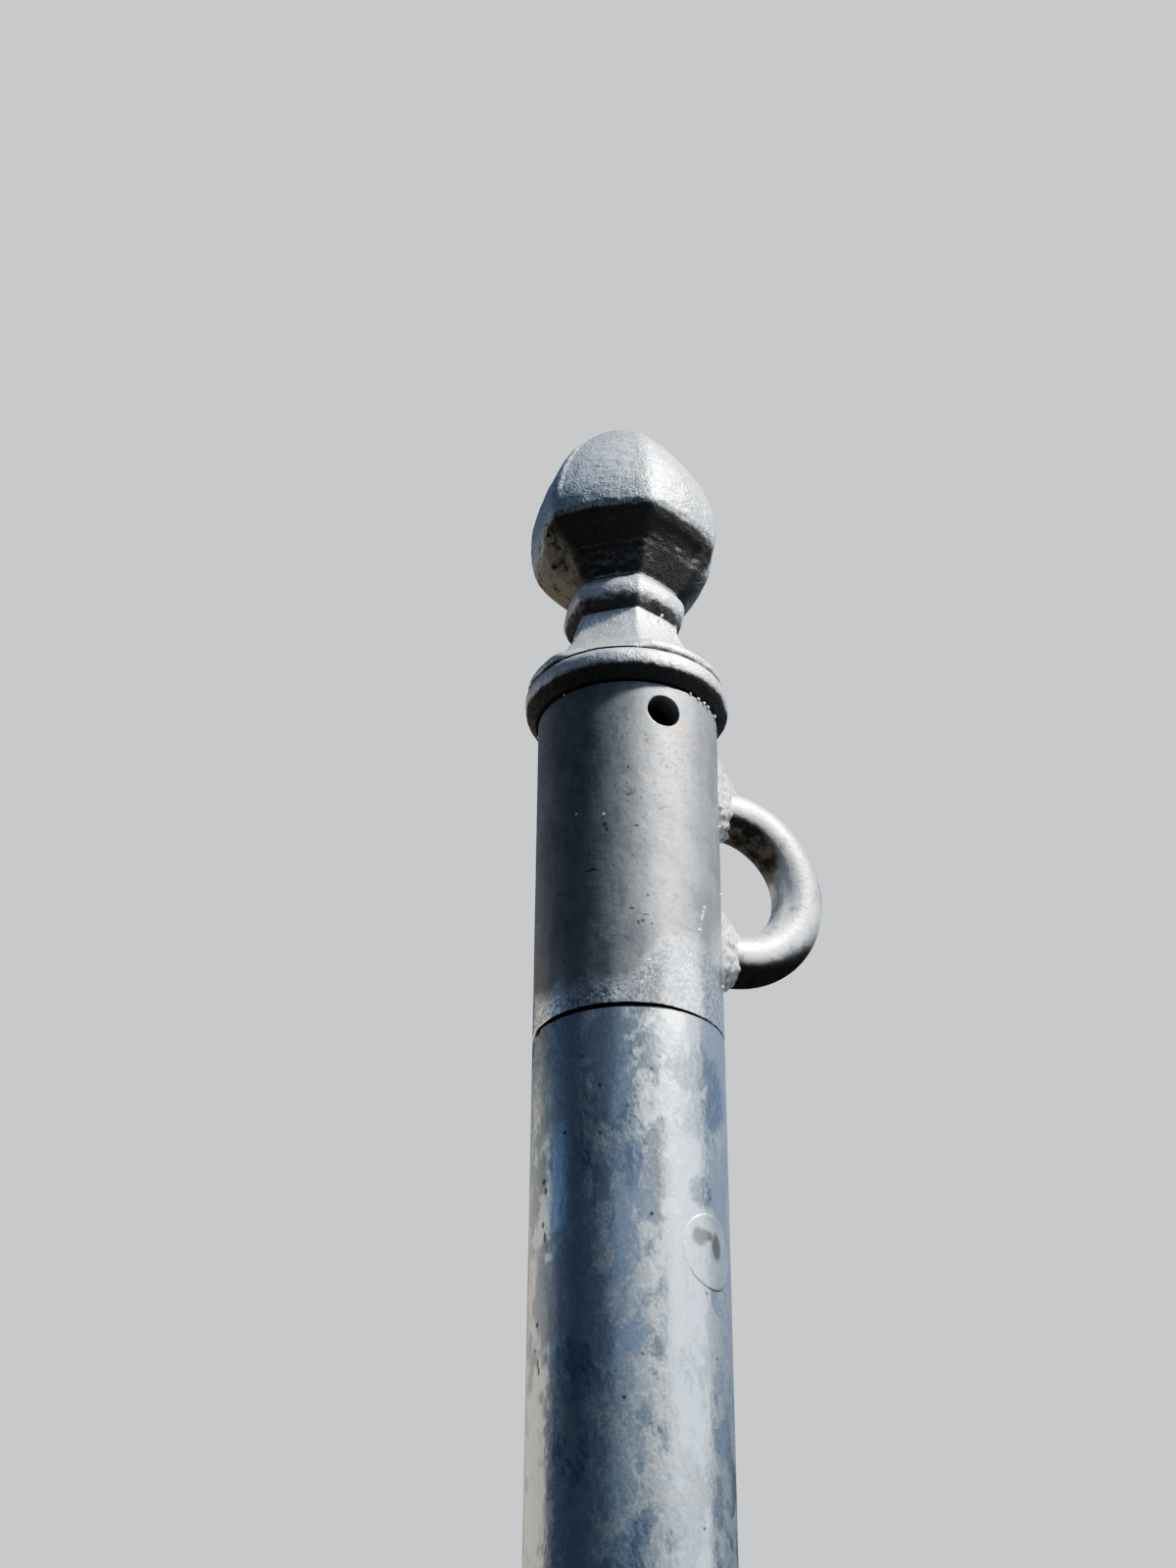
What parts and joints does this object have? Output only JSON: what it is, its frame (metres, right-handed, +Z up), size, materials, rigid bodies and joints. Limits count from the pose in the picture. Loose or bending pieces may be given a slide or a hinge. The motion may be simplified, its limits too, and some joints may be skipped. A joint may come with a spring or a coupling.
{
  "type": "washing line pole",
  "caption": "Galvanised round steel post for a washing line, with a head tube on an inner spigot, a six-sided cast finial and a welded U eye for the line.",
  "frame": {"origin": "centre of the pole's foot at ground level", "axes": "+Z up along the pole, +X towards the eye for the line"},
  "size_m": [0.1341, 0.0882, 2.1574],
  "materials": {
    "pole_zinc": "hot-dip galvanised steel tube, bright, with spangle",
    "spigot_steel": "dull galvanised steel tube",
    "head_zinc": "hot-dip galvanised steel tube, weathered matte grey",
    "cast_zinc": "galvanised sand casting, granular",
    "weld_zinc": "galvanised weld metal, lumpy",
    "bar_zinc": "hot-dip galvanised round bar, smooth",
    "plug_zinc": "galvanised weld cap, brown-grey stain"
  },
  "bodies": {
    "root": {"pole_tube": "pole_zinc", "spigot_tube": "spigot_steel", "head_tube": "head_zinc", "finial": "cast_zinc", "line_eye": "bar_zinc", "eye_welds": "weld_zinc", "plug_welds": "plug_zinc"}
  },
  "joints": []
}
